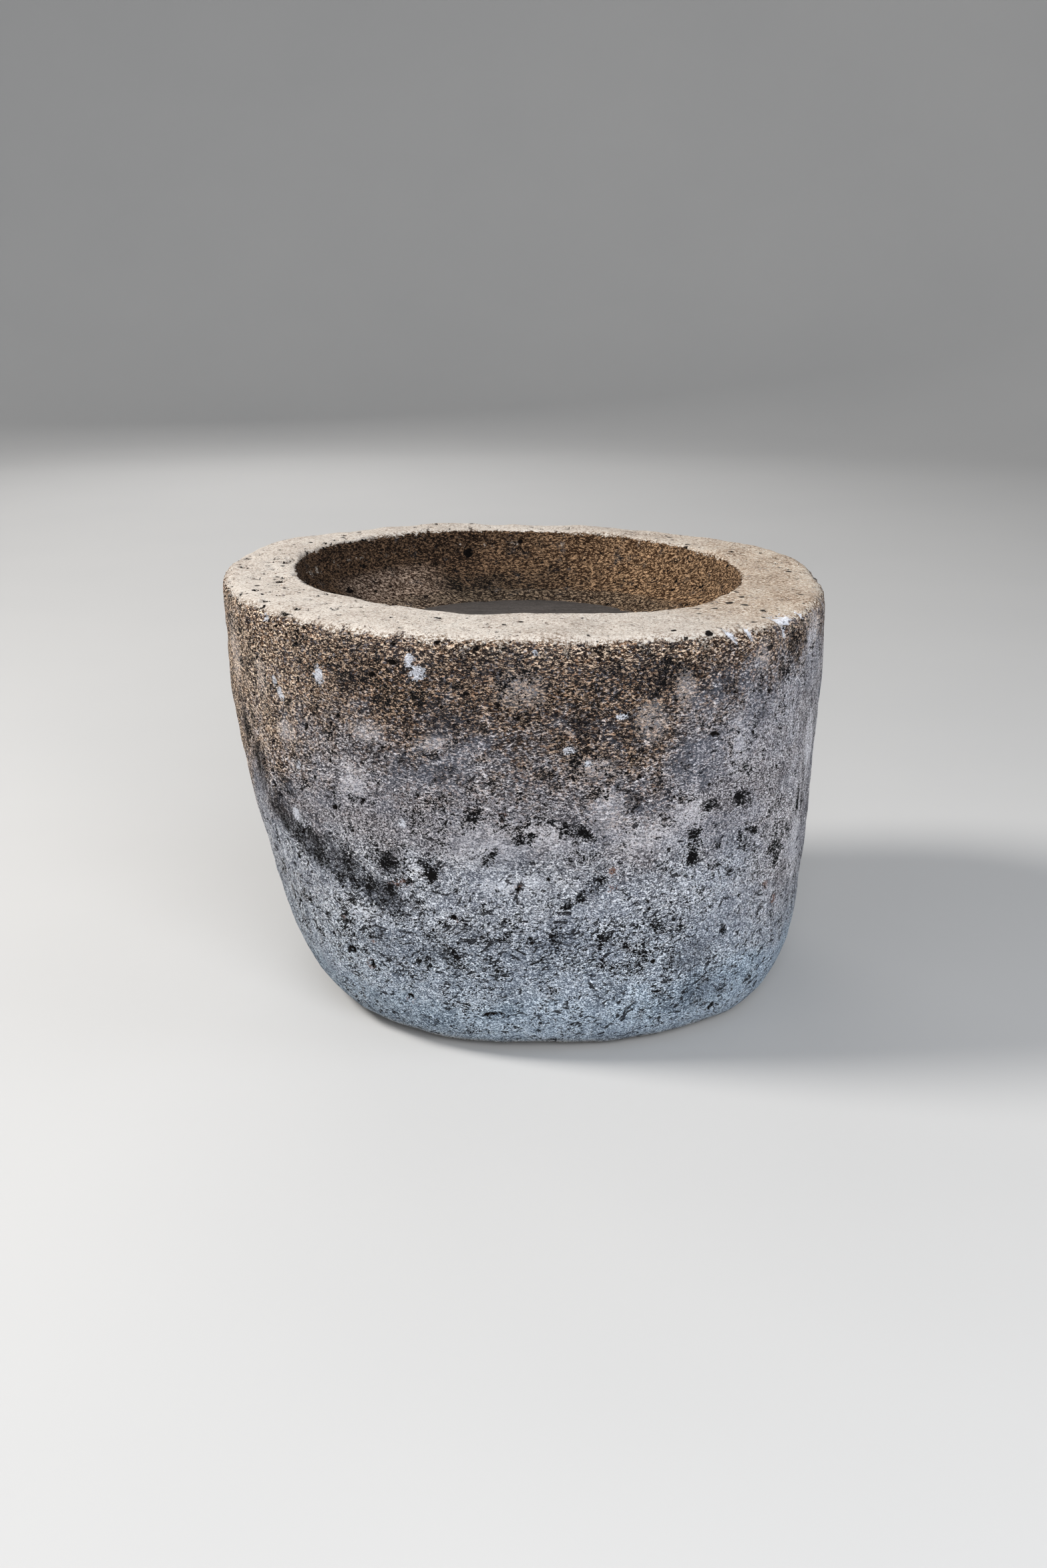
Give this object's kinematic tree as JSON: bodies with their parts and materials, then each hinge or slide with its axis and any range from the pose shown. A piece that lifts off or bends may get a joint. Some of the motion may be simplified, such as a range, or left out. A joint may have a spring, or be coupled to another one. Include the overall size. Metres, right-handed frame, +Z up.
{
  "type": "stone mortar",
  "caption": "Large one-piece stone mortar with a broad flat rim and a wide hollow, its floor levelled by a grey set bed.",
  "frame": {"origin": "on the ground, under the middle of the block's outline seen from above", "axes": "+Z up out of the hollow, -Y towards the front, +X towards the side where the sides are steepest"},
  "size_m": [0.4024, 0.3898, 0.278],
  "materials": {
    "weathered_stone": "matte",
    "grey_bed": "matte"
  },
  "bodies": {
    "root": {"mortar_body": "weathered_stone", "floor_bed": "grey_bed"}
  },
  "joints": []
}
